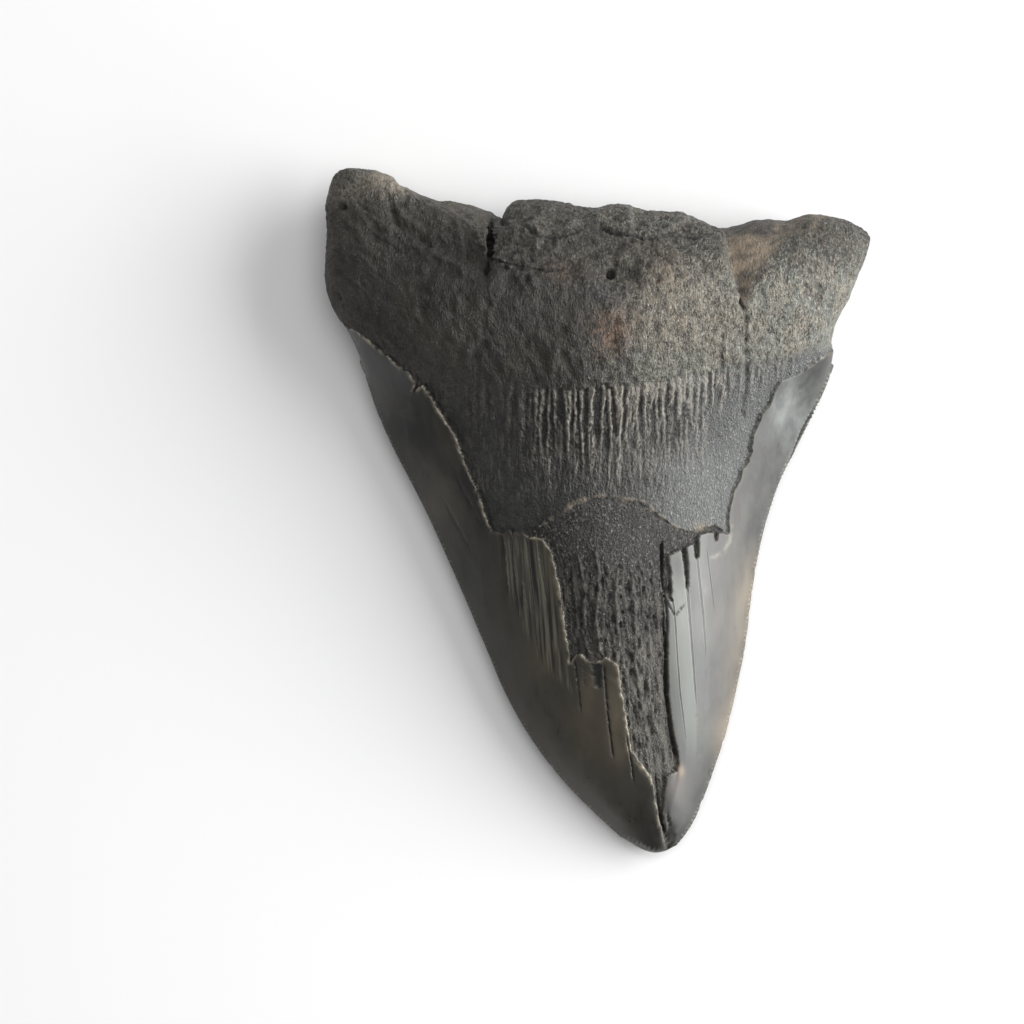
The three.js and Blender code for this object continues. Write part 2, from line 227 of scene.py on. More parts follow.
def from_line(xy, line):
    """Each point's distance from a line of points, and how far along the line it is."""
    line = np.asarray(line, float)
    nearest = np.full(len(xy), np.inf)
    along = np.zeros(len(xy))
    start_length = 0.0
    for a, b in zip(line[:-1], line[1:]):
        span = b - a
        length = math.hypot(*span)
        t = np.clip(((xy - a) @ span) / length**2, 0, 1)
        gap = np.hypot(*(xy - a - t[:, None] * span).T)
        closer = gap < nearest
        nearest[closer] = gap[closer]
        along[closer] = start_length + t[closer] * length
        start_length += length
    return nearest, along


def inside(xy, outline):
    """Distance from a closed outline, positive inside it."""
    outline = np.asarray(outline, float)
    closed = np.vstack([outline, outline[:1]])
    gap = from_line(xy, closed)[0]
    within = np.zeros(len(xy), bool)
    for a, b in zip(closed[:-1], closed[1:]):
        crosses = (a[1] > xy[:, 1]) != (b[1] > xy[:, 1])
        rise = b[1] - a[1] if b[1] != a[1] else 1e-9
        within ^= crosses & (xy[:, 0] < a[0] + (xy[:, 1] - a[1]) * (b[0] - a[0]) / rise)
    return np.where(within, gap, -gap)


# ---- triangle surfaces
MOST_POINTS = 10_000_000  # more than the surface ever has, so a side's two points make one key


def gather(index, values, count):
    """The sum of the values at each index."""
    return np.stack([np.bincount(index, v, count) for v in values.T], axis=1)


def rows(*triples):
    """Triangles from triples of arrays of corners."""
    return [np.stack(triple, axis=1) for triple in triples]


def unit(vectors):
    return vectors / np.maximum(np.linalg.norm(vectors, axis=1, keepdims=True), 1e-12)


def face_normals(points, tris):
    a, b, c = (points[tris[:, n]] for n in range(3))
    return np.cross(b - a, c - a)


def sides_of(points, tris):
    """All sides as vertex pairs, the side that each triangle edge is, and which are sharp.

    Two triangles make a sharp fold only at the cutting edges.
    """
    pairs = np.sort(np.stack([tris, np.roll(tris, -1, axis=1)], axis=2), axis=2)
    key = pairs[..., 0].astype(np.int64) * MOST_POINTS + pairs[..., 1]
    found, which = np.unique(key.ravel(), return_inverse=True)
    summed = gather(which.ravel(), np.repeat(unit(face_normals(points, tris)), 3, axis=0), len(found))
    half_fold_cosine = np.linalg.norm(summed, axis=1) / 2
    sharp = half_fold_cosine < math.cos(math.radians(SHARP_FOLD / 2))
    sides = np.stack([found // MOST_POINTS, found % MOST_POINTS], axis=1)
    return sides, which.reshape(tris.shape), sharp


def neighbours(points, sides):
    """The sum of each point's neighbours, and how many it has."""
    around = gather(sides.ravel(), points[sides[:, ::-1].ravel()], len(points))
    return around, np.bincount(sides.ravel(), minlength=len(points))[:, None]


def point_normals(points, tris):
    faces = face_normals(points, tris)
    return unit(gather(tris.ravel(), np.repeat(faces, 3, axis=0), len(points)))


def smooth_split(points, tris):
    """Each triangle in four, with the surface rounded as Loop's rule does."""
    sides, which, sharp = sides_of(points, tris)
    ends = points[sides[:, 0]] + points[sides[:, 1]]
    across = gather(which.ravel(), points[np.roll(tris, 1, axis=1)].reshape(-1, 3), len(sides))
    middles = np.where(sharp[:, None], ends / 2, 0.375 * ends + 0.125 * across)
    around, valence = neighbours(points, sides)
    share = np.where(valence == 3, 3 / 16, 3 / (8 * np.maximum(valence, 1)))
    moved = (1 - valence * share) * points + share * around
    on_edge = np.unique(sides[sharp])
    moved[on_edge] = points[on_edge]
    a, b, c = tris.T
    p, q, r = (which + len(points)).T
    quarters = rows((a, p, r), (p, b, q), (r, q, c), (p, q, r))
    return np.vstack([moved, middles]), np.concatenate(quarters)


def split_long(points, tris, longest):
    """Splits every side longer than longest says at its middle, on the curved surface."""
    sides, which, sharp = sides_of(points, tris)
    a, b = points[sides[:, 0]], points[sides[:, 1]]
    middle = (a + b) / 2
    split = np.linalg.norm(a - b, axis=1) > longest(middle)
    on_edge = np.bincount(sides[sharp].ravel(), minlength=len(points)) > 0
    normals = point_normals(points, tris)
    na, nb = normals[sides[:, 0]], normals[sides[:, 1]]
    edge_a, edge_b = on_edge[sides[:, 0]], on_edge[sides[:, 1]]
    na, nb = np.where(edge_a[:, None], nb, na), np.where(edge_b[:, None], na, nb)
    from_a = middle - np.sum((middle - a) * na, axis=1, keepdims=True) * na
    from_b = middle - np.sum((middle - b) * nb, axis=1, keepdims=True) * nb
    curved = middle + 0.75 * ((from_a + from_b) / 2 - middle)
    middle = np.where((edge_a & edge_b)[:, None], middle, curved)
    new = np.full(len(sides), -1)
    new[split] = len(points) + np.arange(split.sum())
    points = np.vstack([points, middle[split]])
    m = new[which]
    count = (m >= 0).sum(axis=1)
    parts = [tris[count == 0]]

    def side_first(chosen, first):
        """The chosen triangles' corners and middles, with side number first leading."""
        order = (first[:, None] + np.arange(3)) % 3
        corners = np.take_along_axis(tris[chosen], order, axis=1).T
        return (*corners, *np.take_along_axis(m[chosen], order, axis=1).T)

    one = np.flatnonzero(count == 1)
    a, b, c, p, _, _ = side_first(one, np.argmax(m[one] >= 0, axis=1))
    parts += rows((a, p, c), (p, b, c))
    two = np.flatnonzero(count == 2)
    a, b, c, p, q, _ = side_first(two, (np.argmax(m[two] < 0, axis=1) + 1) % 3)
    a_to_q = np.linalg.norm(points[a] - points[q], axis=1)
    shorter = a_to_q < np.linalg.norm(points[p] - points[c], axis=1)
    parts += rows((p, b, q))
    parts += [t[shorter] for t in rows((a, p, q), (a, q, c))]
    parts += [t[~shorter] for t in rows((a, p, c), (p, q, c))]
    three = np.flatnonzero(count == 3)
    a, b, c = tris[three].T
    p, q, r = m[three].T
    parts += rows((a, p, r), (p, b, q), (r, q, c), (p, q, r))
    return points, np.concatenate(parts)


def cad_surface(name):
    """The CAD node's points, in drawn mm about the tooth's middle, and triangles, welded."""
    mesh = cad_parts[name].data
    mesh.calc_loop_triangles()
    places = np.empty(len(mesh.vertices) * 3, np.float32)
    mesh.vertices.foreach_get("co", places)
    tris = np.empty(len(mesh.loop_triangles) * 3, np.int32)
    mesh.loop_triangles.foreach_get("vertices", tris)
    places = (places.reshape(-1, 3) - MIDDLE) / MM
    _, first, welded = np.unique(
        np.round(places * WELDS_PER_MM).astype(np.int64), axis=0, return_index=True,
        return_inverse=True,
    )
    tris = welded.ravel()[tris.reshape(-1, 3)]
    whole = (tris != np.roll(tris, 1, axis=1)).all(axis=1)
    return places[first], tris[whole].astype(np.int64)


# ---- the base surface
points, tris = cad_surface("tooth")

# The enamel is put back over the CAD solid's bare patch, to be broken off again in detail
x, y, z = points.T
patch_depth = smooth(0, 0.5, x - line_at(CAD_PATCH_MESIAL, y))
patch_depth *= smooth(0, 0.5, line_at(CAD_PATCH_DISTAL, y) - x)
patch_depth *= smooth(-0.4, 0.9, line_at(CAD_PATCH_ARCH, x) - y) * smooth(-56, -52, y)
points[:, 2] += ENAMEL_THICKNESS * patch_depth * (point_normals(points, tris)[:, 2] > 0)

points, tris = smooth_split(points, tris)

sides, which, sharp = sides_of(points, tris)
rim = points[np.unique(sides[sharp])]
rim = rim[rim[:, 1] < CROWN_TOP]
centre_x = TIP[0] * (1 - (rim[:, 1] - TIP[1]) / CROWN_LEAN_HEIGHT)
RIMS = []
for outward in (-1, 1):  # the outermost sharp places near each height, from the tip up
    side = rim[(rim[:, 0] - centre_x) * outward >= 0]
    side = side[np.argsort(side[:, 1])][:, :2]
    same_height = np.abs(side[:, None, 1] - side[None, :, 1]) < 1.2
    outermost = np.where(same_height, outward * side[None, :, 0], -1e9).max(axis=1)
    RIMS.append(side[outward * side[:, 0] > outermost - 1.3])


def longest_side(places):
    """How long a triangle's side may be, in mm: short where the detail is fine."""
    xy = places[:, :2]
    x, y = xy.T
    slab_side, root_side, crown_side, labial_side = 0.63, 0.76, 1.5, 2.4
    on_slab = (y > 38) & (abs(x) < 23)
    allowed = np.where(y > 22, np.where(on_slab, slab_side, root_side), crown_side)
    allowed = np.minimum(allowed, 0.34 + 0.5 * np.clip(-inside(xy, RIBBED) / 3, 0, 1))
    allowed = np.minimum(allowed, 0.5 + 0.5 * np.clip(-inside(xy, BARE_PATCH) / 2, 0, 1))

    def shorter_near(line, shortest, growth, reach):
        """Sides of the shortest length within reach of a line, longer away from it."""
        away = np.maximum(from_line(xy, line)[0] - reach, 0)
        return np.minimum(allowed, shortest + growth * away)

    broken_lines = [ENAMEL_LINE_MESIAL, ENAMEL_LINE_DISTAL, NECK_LOWER_LINE, BARE_PATCH]
    for line in broken_lines + [line for line, width, depth in CRACKS if depth > 0.25]:
        allowed = shorter_near(line, 0.32, 0.45, 0.3)
    lingual = places[:, 2] > 6 + 3 * smooth(15, 35, y)
    allowed = np.where(lingual, allowed, labial_side)
    for line in STRIP_CRACKS:
        allowed = shorter_near(line, 0.8, 0.4, 0.2)
    for side in RIMS:
        allowed = shorter_near(side[::4], 0.4, 0.6, 0.2)
    return allowed


for _ in range(4):
    points, tris = split_long(points, tris, longest_side)

sides, which, sharp = sides_of(points, tris)
fixed = np.unique(sides[sharp])
fixed = fixed[points[fixed, 1] < CROWN_TOP - 1]  # the root has no sharp sides
for _ in range(5):  # the CAD facets' last traces, which a gloss would show
    around, valence = neighbours(points, sides)
    around /= valence
    around[fixed] = points[fixed]
    points = 0.5 * points + 0.5 * around

# The slab's top edge is broken: a notch at its mesial end, and three stretches a thin layer lower
top_x = points[:, 0]
lost = 1.9 * np.exp(-(((top_x + 16.2) / 0.75) ** 2))
lost += 0.4 * smooth(-18.6, -17.6, top_x) * smooth(3, -2, top_x)
lost += 0.5 * smooth(5.4, 5.9, top_x) * smooth(14, 12, top_x)
lost += 0.5 * smooth(14.8, 15.6, top_x) * smooth(25.5, 22, top_x)
points[:, 1] -= lost * smooth(47.5, 52.5, points[:, 1])

# ---- breaks, cracks and ribs
base = points.copy()
x, y, z = base.T
xy = base[:, :2]
normals = point_normals(points, tris)
LINGUAL = smooth(-0.1, 0.3, normals[:, 2] + smooth(25, 36, y) * smooth(3, 8, z))
LABIAL = 1 - LINGUAL


def spot(cx, cy, rx, ry):
    """A soft round spot: 1 at its middle, fading over its two radii."""
    return np.exp(-(((x - cx) / rx) ** 2) - ((y - cy) / ry) ** 2)


ragged = np.stack([layers(base, 1.4, 3, 3), layers(base, 1.4, 5, 3)], axis=1)
from_neck = inside(xy + 0.28 * ragged, NECK_AND_ROOT)  # positive on the neck band and root
from_neck += 0.8 * noise(base, (1.1, 8, 4), 51) * spot(-13.6, -3.4, 3.6, 3)  # a toothed stretch
from_bare = inside(xy + 0.25 * ragged, BARE_PATCH)  # positive where the dentine is bare
from_labial_root = y + 0.5 * ragged[:, 1] - line_at(LABIAL_ENAMEL_LINE, x)

ribbed = smooth(-14, -9, x) * smooth(25, 20, x)  # where the ribs stand highest
blend = 0.35 + 1.8 * (1 - ribbed)
band = smooth(1, -1, (y + 0.9 * ragged[:, 0] - line_at(BAND_TOP, x)) / blend)
band *= smooth(-0.1, 0.1, from_neck) * LINGUAL

on_neck = smooth(-0.08, 0.1, from_neck) * LINGUAL
on_bare = smooth(-0.05, 0.12, from_bare) * LINGUAL
root = np.where(LINGUAL > 0.5, on_neck * (1 - band), smooth(-0.1, 0.1, from_labial_root))
enamel = np.where(LINGUAL > 0.5, (1 - on_neck) * (1 - on_bare), 1 - root)

drop = np.zeros(len(base))  # in mm, along the surface's normal
raised = np.zeros(len(base))
# Painted shade in cracks and pits, darker the deeper they are
crack_and_pit_shade = np.zeros(len(base))  # how deep in a crack or pit

# Enamel steps down to the neck band, and to the bare dentine
drop += NECK_STEP * on_neck * np.exp(-np.maximum(from_neck, 0) / 5)
drop += ENAMEL_THICKNESS * on_bare
labial_step = 0.35 * smooth(-0.1, 0.1, from_labial_root)
drop += labial_step * np.exp(-np.maximum(from_labial_root, 0) / 4) * LABIAL


def near(line, reach):
    """The lingual points within reach of a line, their distances from it and along it."""
    corners = np.array(line, float)
    low, high = corners.min(axis=0) - reach, corners.max(axis=0) + reach
    chosen = np.flatnonzero(((xy > low) & (xy < high)).all(axis=1) & (LINGUAL > 0.5))
    gap, along = from_line(xy[chosen], corners)
    close = gap < reach
    return chosen[close], gap[close], along[close]


for number, (line, width, depth) in enumerate(CRACKS):
    chosen, gap, along = near(line, width + 0.6)
    gap = gap + 0.22 * width * noise(base[chosen], 1.1, 40 + number)
    length = from_line(np.array([line[-1]], float), line)[1][0]
    ends = smooth(-0.2, 1.2, along) * smooth(-0.2, 1.2, length - along)
    cut = depth * np.clip(1.25 - gap / (width / 2), 0, 1) ** 0.8 * ends
    drop[chosen] += cut
    crack_and_pit_shade[chosen] = np.maximum(crack_and_pit_shade[chosen], np.clip(cut / 0.4, 0, 1) ** 1.5)

# The strips are counted across the crown, whole numbers on their cracks, so that a shader can
# draw a crack finer than the triangles
crack_x = [line_at([(place[1], place[0]) for place in line[::-1]], y) for line in STRIP_CRACKS]
strip_count = np.full(len(base), -0.5)
strip_crack = np.zeros(len(base))
for number, line in enumerate(STRIP_CRACKS):
    left = crack_x[number - 1] if number else crack_x[0] - STRIP_WIDTH
    last = line is STRIP_CRACKS[-1]
    right = crack_x[number] + STRIP_WIDTH if last else crack_x[number + 1]
    offset = x - crack_x[number]
    share = np.where(offset < 0, offset / (crack_x[number] - left), offset / (right - crack_x[number]))
    here = number + np.clip(share, -0.5, 0.5)
    mine = here > number - 0.5
    strip_count[mine] = here[mine]
    top, foot = line[0][1], line[-1][1]
    clear = smooth(top + 0.4, top - 0.4, y) * smooth(foot - 2.0, foot + 2.5, y)
    clear *= 0.6 + 0.4 * smooth(-26, -8, y)
    strip_crack[mine] = clear[mine] * (0.5 if last else 1.0)
# Painted light: each strip gets its own paleness, as a facet catching the light in its own way, with
# painted shade where the first strips' tops are sunken
strip_facet_tones = np.array([0.5, 0.95, 0.35, 0.75, 0.3, 0.1])
strip_facet_light = strip_facet_tones[np.clip(np.floor(strip_count).astype(int) + 1, 0, 5)]
strip_facet_light *= smooth(-47, -35, y) * smooth(20.5, 17, x)
strip_facet_light *= 1 - 0.8 * spot(13.9, -9.5, 1.3, 3.0)

chance = np.random.default_rng(11)


def add_ribs(first, last, spacing, top, spread, lengths, widths, height):
    """Tongues of the root's surface that reach down over the band and thin to wavy ridges."""
    at = first
    while at < last:
        start = line_at(top, at) + chance.uniform(-spread, spread)
        length = chance.uniform(*lengths)
        count = max(4, int(length / 1.3))
        line_y = np.linspace(start, start - length, count)
        line_x = at + np.cumsum(chance.uniform(-0.24, 0.24, count))
        line = np.stack([line_x, line_y], axis=1)
        chosen, gap, along = near(line, 1.2)
        thinned = smooth(0.5, 0.5 * length, along)
        half = (widths[0] * (1 - thinned) + widths[1] * thinned) * chance.uniform(0.7, 1.2) / 2
        gap = gap + 0.16 * noise(base[chosen], 0.9, int(chance.integers(1000)))
        lump = 0.8 + 0.4 * noise(base[chosen], (1, 2.4, 3), int(chance.integers(1000)))
        ends = smooth(-0.1, 0.35 * length, length - along)
        ridge = height * chance.uniform(0.7, 1.15) * np.clip(1.5 - gap / half, 0, 1) ** 0.8 * ends * lump
        ridge *= band[chosen] * (0.6 + 0.4 * ribbed[chosen])
        raised[chosen] = np.maximum(raised[chosen], ridge)
        at += chance.uniform(*spacing)


sunk = (0.15 + 0.35 * ribbed) * band * smooth(3, 14, y)
drop += sunk
add_ribs(-15, 6, (0.8, 1.5), RIB_TOP, 1.2, (8, 19), (0.62, 0.34), 0.6)
add_ribs(6, 21.5, (0.95, 1.3), RIB_TOP, 0.6, (4, 9), (1.0, 0.45), 0.55)
add_ribs(6, 19, (1.0, 1.8), RIB_TOP, 0.8, (10, 15), (0.5, 0.3), 0.4)
add_ribs(-12, 20, (0.5, 0.9), LOWER_RIB_TOP, 3.5, (3, 9), (0.36, 0.3), 0.22)
add_ribs(-34, -15, (0.5, 1.0), RIB_TOP, 1.8, (5, 13), (0.5, 0.34), 0.4)
add_ribs(20.5, 34, (0.6, 1.0), RIB_TOP, 0.8, (3, 7), (0.6, 0.34), 0.4)
rib = np.clip(raised / 0.36, 0, 1) * band
# Painted shade down in the band's sunken troughs, between the ribs
trough_shade = np.clip(sunk / 0.4, 0, 1) * (1 - rib) * smooth(7, 13, y)

# The mesial lobe's diagonal troughs
for line, width, depth in [
    ([(-34.5, 49.0), (-28.3, 46.6), (-23.3, 43.8), (-19.6, 42.0)], 2.2, 0.4),
    ([(-34, 57.0), (-29.6, 54.4), (-24, 51.6), (-19, 49.4)], 1.6, 0.7),
    ([(-39, 48.0), (-33, 44.5), (-26, 41.5)], 3.0, 0.6),
    ([(-31.5, 50.5), (-26.5, 47.8), (-20, 44.9)], 0.8, 0.3),
    ([(-38, 51.5), (-34, 50.0)], 1.6, 0.3),
]:
    chosen, gap, _ = near(line, 2 * width)
    gap = gap + 0.25 * width * noise(base[chosen], 3.0, 80)
    drop[chosen] += depth * np.exp(-((gap / (width / 2)) ** 2))

# The lobe's upper block stands above the rest of its face, with a steep lower side
below = line_at(BLOCK_FOOT, x) - y + 0.5 * ragged[:, 1]
below_block = smooth(-0.8, 0.8, below) * np.exp(-np.maximum(below - 0.8, 0) / 3.2)
below_block *= smooth(-37.5, -34.5, x) * smooth(-18.2, -19.4, x) * LINGUAL
drop += 1.15 * below_block * smooth(0.1, 0.5, normals[:, 2])

# The lobe's broken top lies lower than its front, behind a crisp edge
behind = smooth(-0.3, 0.35, y + 0.4 * ragged[:, 0] - line_at(LOBE_EDGE, x))
behind *= smooth(-28.5, -25, x) * smooth(-18.2, -18.8, x) * LINGUAL
drop += 0.9 * behind * smooth(0.15, 0.6, normals[:, 2])

# Pits: the foramen, and smaller ones scattered over the root
pits = [
    (2.2, 40.8, 0.62, 2.4), (-43.9, 52.6, 0.55, 0.8), (23.3, 37.8, 0.45, 0.8),
    (-5.8, 30.8, 0.8, 0.35), (9.8, 31.6, 0.8, 0.35), (-45.0, 36.8, 1.0, 0.6),
    (-43.6, 33.0, 0.8, 0.5),
]
for _ in range(ROOT_PITS):
    place = chance.uniform(-46, 46), chance.uniform(26, 56)
    pits.append((*place, chance.uniform(0.25, 0.6), chance.uniform(0.1, 0.4)))
for px, py, radius, depth in pits:
    gap = np.hypot(x - px, (y - py) * 0.85) / radius * (1 + 0.25 * ragged[:, 0])
    pit = np.clip(1.3 - gap, 0, 1) ** 0.8 * root * LINGUAL * smooth(0.1, 0.5, normals[:, 2])
    drop += depth * pit
    crack_and_pit_shade = np.maximum(crack_and_pit_shade, pit * min(1, depth / 0.8))
for _ in range(LABIAL_PORES):  # where vessels entered the labial root
    px, py, radius = chance.uniform(-42, 42), chance.uniform(24, 50), chance.uniform(0.5, 1.1)
    pit = np.clip(1.3 - np.hypot(x - px, y - py) / radius, 0, 1) * root * LABIAL
    drop += 0.4 * pit
    crack_and_pit_shade = np.maximum(crack_and_pit_shade, 0.6 * pit)

# Weathered relief of the root
slab = smooth(-17.4, -16.6, x) * smooth(21.2, 20.2, x)
slab *= smooth(-0.2, 0.5, y - line_at(SLAB_FOOT, x))
ledge = smooth(-18.4, -17.6, x) * smooth(21, 18, x) * smooth(40.4, 42, y) * (1 - slab)


def turned(cosine, sine):
    """The places turned, for noise that is drawn out along a slanting line."""
    return np.stack([x * cosine - y * sine, x * sine + y * cosine, z], axis=1)


along_lobe, along_ledge, along_hollow = turned(0.83, 0.56), turned(0.9, 0.44), turned(0.87, -0.5)
mesial_lobe = smooth(-17.8, -19.5, x) * smooth(36, 44, y)
hollow = smooth(-0.6, 0.8 + 3.2 * smooth(25, 32, x), inside(xy + 0.6 * ragged, SPALL_HOLLOW))
hollow *= LINGUAL * smooth(3, 9, z + 3 * ragged[:, 0])
rough = root * LINGUAL * (1 - hollow)
hollow_light = 0.35 + 0.55 * layers(along_hollow, (4.5, 1.3, 2), 85, 3)
hollow_light += 0.4 * spot(27.5, 44.5, 5, 3.2)
hollow_light -= 0.5 * smooth(46.5, 49.5, y) * smooth(32, 28, x)
relief = 0.34 * layers(base, (5, 7, 5), 60, 2)
relief += 0.32 * layers(base, (1.8, 2.8, 1.8), 61, 2) * (1 - 0.4 * mesial_lobe)
relief += 0.10 * layers(base, (0.6, 1.5, 0.8), 62, 2) * (1 - 0.5 * mesial_lobe)
relief += 0.34 * layers(along_lobe, (6, 1.2, 2), 63, 2) * mesial_lobe
relief += 0.16 * layers(base, (0.9, 2.8, 1.5), 59, 2) * smooth(-14, 6, x)
blocks = layers(base, (4.5, 2.2, 2.5), 64, 3)
relief += (0.75 * blocks - 0.5 * np.abs(layers(base, (3.6, 2.2, 2), 65, 2))) * slab
relief += (0.3 * layers(base, (4, 1.3, 2), 66, 2) - 0.2) * ledge
seams = smooth(0.25, 0, np.abs(layers(along_ledge, (7, 1.5, 3), 58, 2)))
relief -= 0.35 * seams * ledge * smooth(-2, -9, x)
facing = smooth(0.0, 0.4, normals[:, 2])  # the outline stays smoother
drop -= relief * rough * (0.35 + 0.65 * facing)
beside_foramen = spot(4.9, 40.9, 2.0, 1.2)
drop += (beside_foramen + 0.3 * spot(1.0, 38.0, 3.0, 1.3)) * rough
# painted shade in the hollow beside the foramen
crack_and_pit_shade = np.maximum(crack_and_pit_shade, 0.4 * beside_foramen * rough)
drop -= 0.5 * root * (1 - normals[:, 2] ** 2)  # the rounding took this off the root's sides
drop -= 0.24 * layers(along_hollow, (5, 1.4, 2), 67, 2) * hollow
labial_relief = 0.22 * layers(base, (3, 4, 3), 68, 3) + 0.08 * layers(base, 0.9, 69, 2)
drop -= labial_relief * root * LABIAL
band_relief = 0.06 * layers(base, (0.7, 1.5, 0.8), 70, 2) + 0.08 * layers(base, (5, 8, 5), 71, 1)
drop -= band_relief * band

# Bare dentine: grit under the arch, then uneven ridges and dark pits drawn out along the crown
along_crown = np.stack([x + 0.087 * y, y, z], axis=1)  # the crown's grain leans by five degrees
length_ridges = 1 - 2 * np.abs(layers(along_crown, (1.6, 11, 6), 72, 2))
gritty = smooth(-13, -7, y + 2 * ragged[:, 0])
grit = 0.12 * layers(base, (0.8, 1.1, 1), 73, 2)
drop -= (0.22 * length_ridges * (1 - gritty) + grit) * on_bare
pitted = smooth(0.25, 0.5, layers(along_crown, (1.0, 2.6, 2), 79, 2))
pitted *= smooth(-7, -11, y) * smooth(-46, -38, y)
drop += 0.35 * pitted * on_bare
crack_and_pit_shade = np.maximum(crack_and_pit_shade, 0.75 * pitted * on_bare)
bare_ridges = smooth(0.5, 0.95, length_ridges) * (1 - gritty) * on_bare
for line, width, height in [
    ([(-3.4, -8), (-2.2, -14), (-2.6, -21), (-1.6, -24.6)], 0.5, 0.35),
    ([(-0.4, -7), (0.4, -12), (-0.4, -18), (0.4, -24)], 0.55, 0.4),
    ([(3.6, -10), (3.2, -15), (3.8, -21), (3.4, -25.6)], 0.5, 0.35),
    ([(6.2, -12), (6.8, -18), (6.6, -26), (8.0, -34), (9.0, -41)], 0.5, 0.35),
    ([(8.8, -14), (9.2, -22), (9.0, -30), (10.4, -38)], 0.5, 0.3),
]:
    chosen, gap, _ = near(line, 1.0)
    gap = gap + 0.3 * noise(base[chosen], 1.4, 90)
    raised[chosen] += height * np.clip(1.2 - gap / (width / 2), 0, 1) * on_bare[chosen]

# A small square chip of enamel beside the bare patch, and the worn distal wing
chip = smooth(0, 0.25, inside(xy + 0.2 * ragged, SMALL_CHIP))
drop += 0.3 * chip * enamel
drop += 0.7 * spot(35.5, 17.0, 3.6, 8.0) * enamel * LINGUAL
drop -= 0.03 * layers(base, (5, 12, 6), 74, 1) * enamel

# The neck band ends in a thin broken rim round the arch, and its paleness is a painted highlight along
# the rim
chosen, gap, _ = near(ARCH, 1.6)
gap = np.abs(gap + 0.3 * layers(base[chosen], 1.6, 83, 2))
left_over = np.clip(0.35 + 0.95 * noise(base[chosen], 1.7, 84), 0, 0.9)
arch_rim_and_highlight = np.zeros(len(base))
arch_rim_and_highlight[chosen] = np.exp(-((gap / 0.36) ** 2)) * left_over
arch_rim_and_highlight = np.clip(arch_rim_and_highlight + 0.6 * spot(17.8, -2.6, 1.2, 0.8), 0, 0.9) * np.clip(on_neck + on_bare, 0, 1)
raised += 0.22 * arch_rim_and_highlight

points = base + normals * (raised - drop)[:, None]

# Serrations along both cutting edges: fine teeth that end in short grooves on the enamel
edge_margin = np.exp(-((from_line(xy, RIMS[1][::3])[0] / 2.3) ** 2))  # along the distal edge
serration = np.zeros(len(base))
for side, outward, strength in ((RIMS[0], -1, 0.6), (RIMS[1], 1, 1.0)):
    gap, along = from_line(xy, side[::3])
    slant = unit(np.gradient(side[::3], axis=0))
    normal_2d = outward * np.stack([slant[:, 1], -slant[:, 0]], axis=1)
    way = np.stack([np.interp(y, side[::3, 1], normal_2d[:, n]) for n in (0, 1)], axis=1)
    phase = along / SERRATION_PITCH + 0.25 * noise(base, 5, 75)
    tooth_wave = 1 - 4 * np.abs(phase % 1 - 0.5)
    fresh = strength * (0.5 + 0.5 * smooth(-30, 24, y)) * (0.75 + 0.5 * noise(base, 6, 76))
    fresh *= smooth(CROWN_TOP + 1, CROWN_TOP - 2, y) * smooth(TIP[1] + 2, TIP[1] + 17, y)
    out = 0.13 * tooth_wave * fresh * np.clip(1 - gap / 0.9, 0, 1)
    points[:, :2] += way * out[:, None]
    nicks = np.clip(noise(base, 2.6, 77) - 0.5, 0, 1) * np.clip(1 - gap / 0.8, 0, 1)
    points[:, :2] -= way * (0.4 * nicks)[:, None] * (y < CROWN_TOP - 2)[:, None]
    crest = np.clip(tooth_wave, 0, 1) * np.clip(1 - gap / 0.6, 0, 1)
    crest *= 0.5 + 0.5 * noise(base, 1.5, 81)
    serration = np.maximum(serration, crest * strength * (y < CROWN_TOP))

points = np.clip(points, (LOW - MIDDLE) / MM - PAST_CAD, (HIGH - MIDDLE) / MM + PAST_CAD)
points[:, 2] = np.maximum(points[:, 2], 0)  # the labial face's high spots are worn flat


# ---- colour masks
def edge_of(distance, width, margin=0.03):
    """A pale line just outside the places where a distance is positive."""
    return np.exp(-((np.maximum(-distance, 0) / width) ** 2)) * (distance < margin)


# Painted highlight: a pale line along the broken edges, strongest where they face the light, on the
# mesial side of each break, and faint elsewhere
light_facing_side = smooth(2, -14, x) * smooth(-3.0, -1.0, y)
neck_edge = edge_of(from_neck, 0.32) * (0.2 + 0.8 * light_facing_side)
edge_width = 0.24 + 0.14 * smooth(-24, -28, y) + 0.16 * smooth(-9, -12, y) * smooth(-24, -21, y)
near_neck = smooth(-5, -3, y)
mesial_side = smooth(1, -1, x - line_at(PATCH_MIDDLE, y) - 12 * near_neck)
bare_edge = edge_of(from_bare, edge_width) * (0.15 + (0.85 - 0.35 * near_neck) * mesial_side)
wide_edge = edge_of(from_bare, 0.7, 0.1) * spot(6.3, -42.6, 2.2, 4)
flake_edge = np.exp(-((from_line(xy, FLAKE_LINE)[0] / 0.3) ** 2))
broken_edge_highlight = np.maximum.reduce([neck_edge, 0.5 * flake_edge, bare_edge, wide_edge])
broken_edge_highlight *= LINGUAL * np.clip(0.55 + 0.7 * noise(base, (1.2, 2.5, 1.2), 78), 0, 1.2)


def stain(spots, *others, low=0):
    """A mask from soft spots, each its strength, middle and radii, and from other fields."""
    total = sum(strength * spot(*place) for strength, *place in spots)
    return np.clip(total + sum(others), low, 1)


